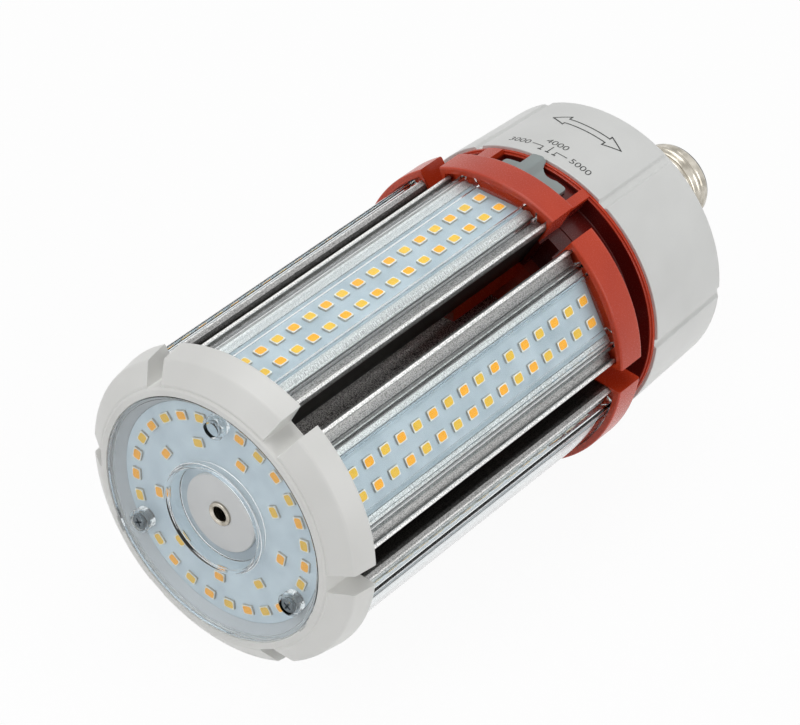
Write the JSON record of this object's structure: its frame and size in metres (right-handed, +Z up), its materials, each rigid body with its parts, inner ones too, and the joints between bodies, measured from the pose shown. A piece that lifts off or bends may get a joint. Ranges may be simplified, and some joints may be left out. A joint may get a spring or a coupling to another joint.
{
  "type": "led hid replacement bulb",
  "caption": "Six-sided LED lamp with clear strip covers, a lensed end, a colour switch and a screw base, to replace a discharge lamp",
  "frame": {"origin": "under the middle of the lamp, on the surface it lies on", "axes": "+X along the lamp axis to the screw base, +Z up, side 1 and the colour switch up"},
  "size_m": [0.215, 0.0918, 0.092],
  "materials": {
    "white_plastic": "satin moulded",
    "clear_plastic": "clear moulded polycarbonate",
    "board": "coated aluminium circuit board",
    "led_warm": "orange phosphor",
    "led_cool": "yellow phosphor",
    "screw_steel": "blackened steel",
    "hub_plastic": "pale grey moulded",
    "nickel": "nickel plated",
    "aluminium": "blasted and anodised extrusion",
    "red_plastic": "satin moulded",
    "grey_plastic": "satin moulded",
    "dark_plastic": "moulded",
    "green_board": "solder mask",
    "ferrite": "sintered",
    "brass": "solder tipped"
  },
  "bodies": {
    "lamp": {"base_carrier": "red_plastic", "base_insulator": "dark_plastic", "base_neck": "white_plastic", "centre_contact": "brass", "cool_leds_1": "led_cool", "cool_leds_2": "led_cool", "cool_leds_3": "led_cool", "cool_leds_4": "led_cool", "cool_leds_5": "led_cool", "cool_leds_6": "led_cool", "core_tube": "aluminium", "driver_board": "green_board", "driver_capacitors": "aluminium", "driver_housing": "white_plastic", "driver_transformer": "ferrite", "end_board": "board", "end_cap": "white_plastic", "end_leds_cool": "led_cool", "end_leds_warm": "led_warm", "end_lens": "clear_plastic", "heat_sink_1": "aluminium", "heat_sink_2": "aluminium", "heat_sink_3": "aluminium", "heat_sink_4": "aluminium", "heat_sink_5": "aluminium", "heat_sink_6": "aluminium", "hub_bush": "nickel", "hub_disc": "hub_plastic", "lens_screws": "screw_steel", "screw_shell": "nickel", "strip_board_1": "board", "strip_board_2": "board", "strip_board_3": "board", "strip_board_4": "board", "strip_board_5": "board", "strip_board_6": "board", "strip_cover_1": "clear_plastic", "strip_cover_2": "clear_plastic", "strip_cover_3": "clear_plastic", "strip_cover_4": "clear_plastic", "strip_cover_5": "clear_plastic", "strip_cover_6": "clear_plastic", "switch_body": "dark_plastic", "warm_leds_1": "led_warm", "warm_leds_2": "led_warm", "warm_leds_3": "led_warm", "warm_leds_4": "led_warm", "warm_leds_5": "led_warm", "warm_leds_6": "led_warm"},
    "slider": {"switch_slider": "grey_plastic", "switch_nub": "dark_plastic"}
  },
  "joints": [
    {"name": "colour_switch", "type": "hinge", "parent": "lamp", "child": "slider", "pos_m": [0, 0, 0.046], "axis": [1, 0, 0], "range_deg": [-3.2, 3.2]}
  ]
}
